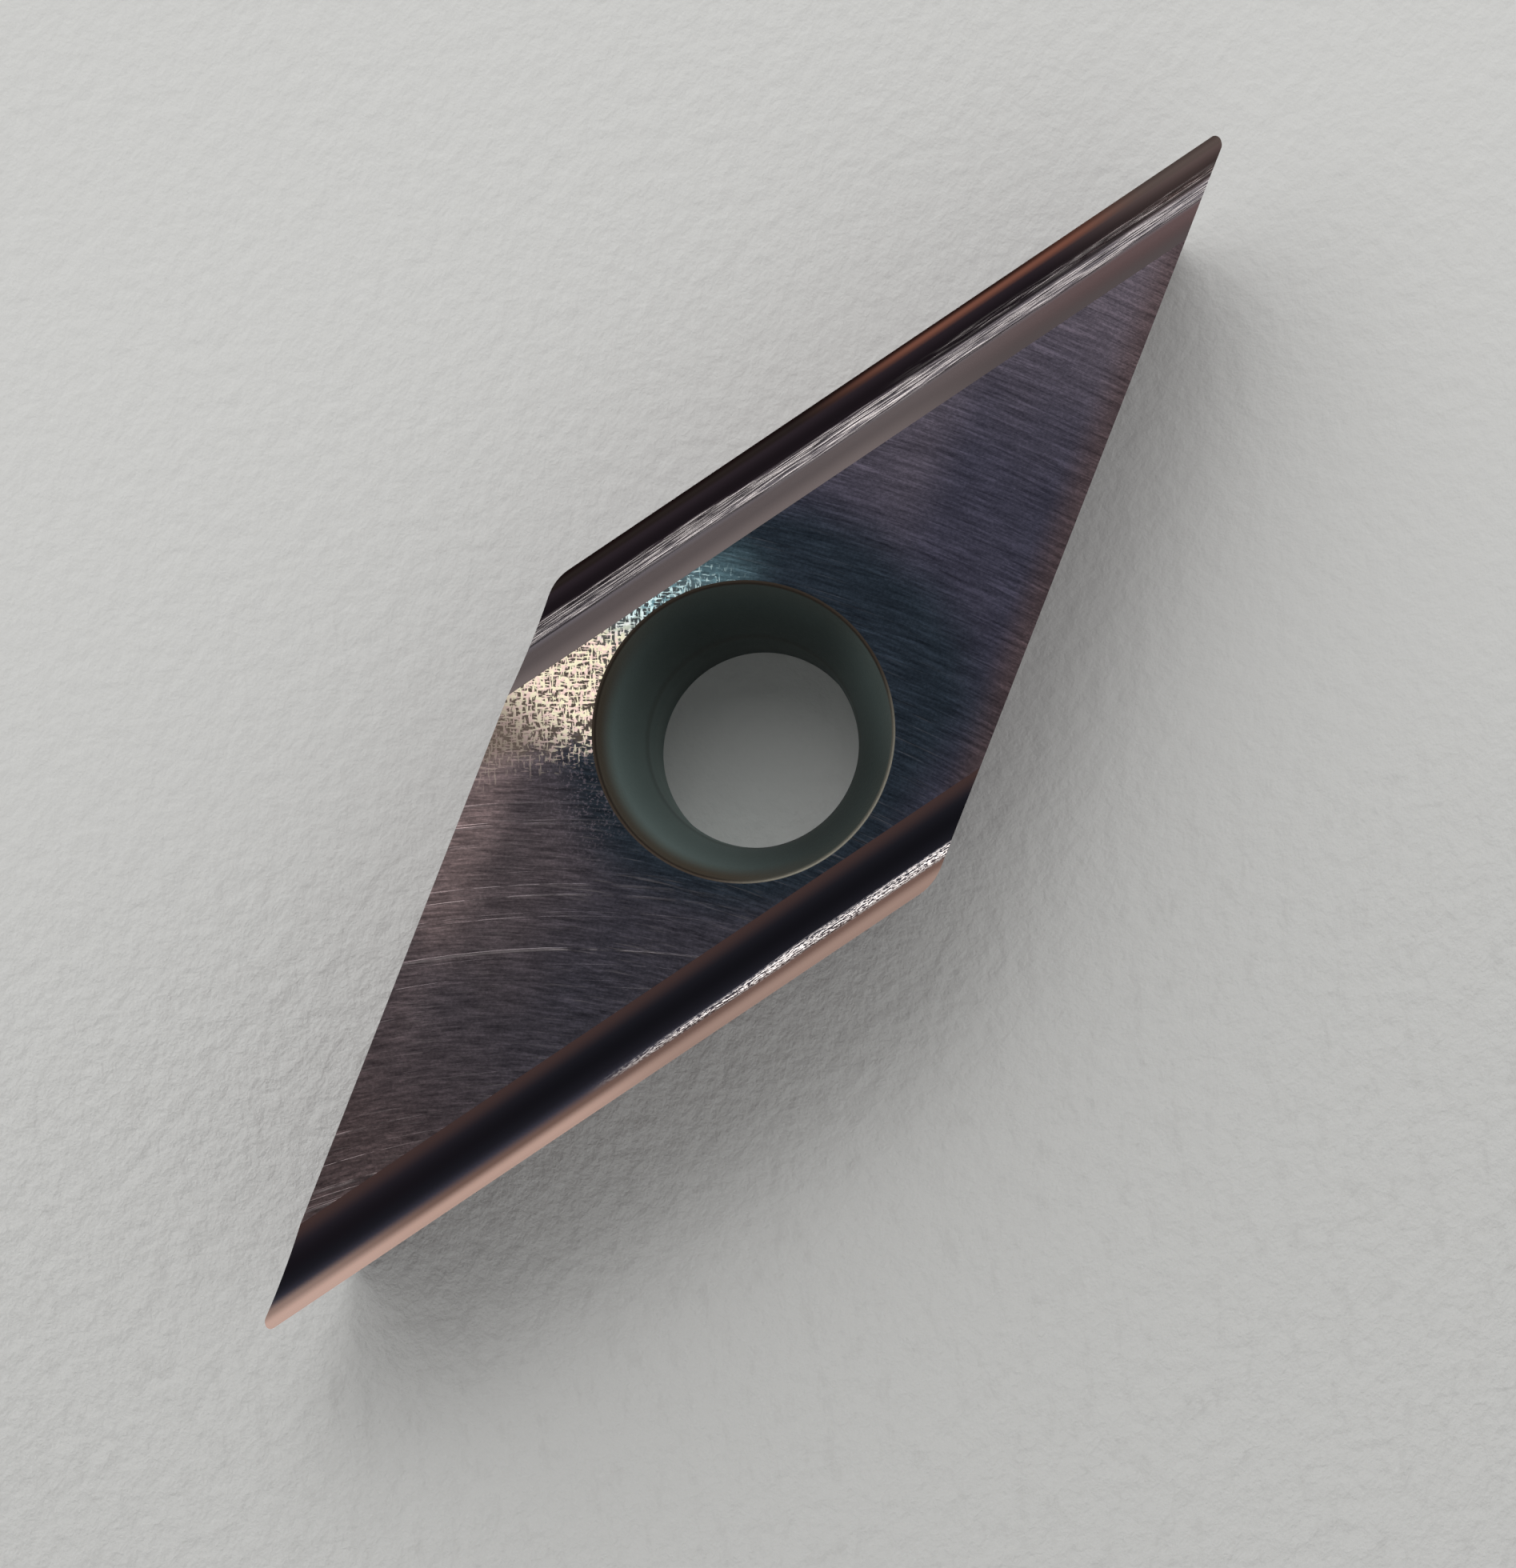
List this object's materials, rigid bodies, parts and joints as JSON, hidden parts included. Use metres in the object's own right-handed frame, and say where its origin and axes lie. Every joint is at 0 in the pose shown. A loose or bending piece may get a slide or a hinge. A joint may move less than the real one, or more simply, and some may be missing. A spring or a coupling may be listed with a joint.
{
  "type": "carbide insert",
  "caption": "Slim rhombic carbide turning insert with relieved flanks, a flared screw hole and a ground chip groove along one side of each sharp corner.",
  "frame": {"origin": "centre of the flat base, on the axis of the screw hole", "axes": "+Z from the base to the grooved rake face, +X along the long diagonal to a sharp corner, +Y to a blunt corner; the chip grooves run from +X to +Y and from -X to -Y"},
  "size_m": [0.0206, 0.0066, 0.0032],
  "materials": {
    "coated_carbide": "ground carbide under a thin violet-brown hard coating, satin"
  },
  "bodies": {
    "root": {"insert_body": "coated_carbide"}
  },
  "joints": []
}
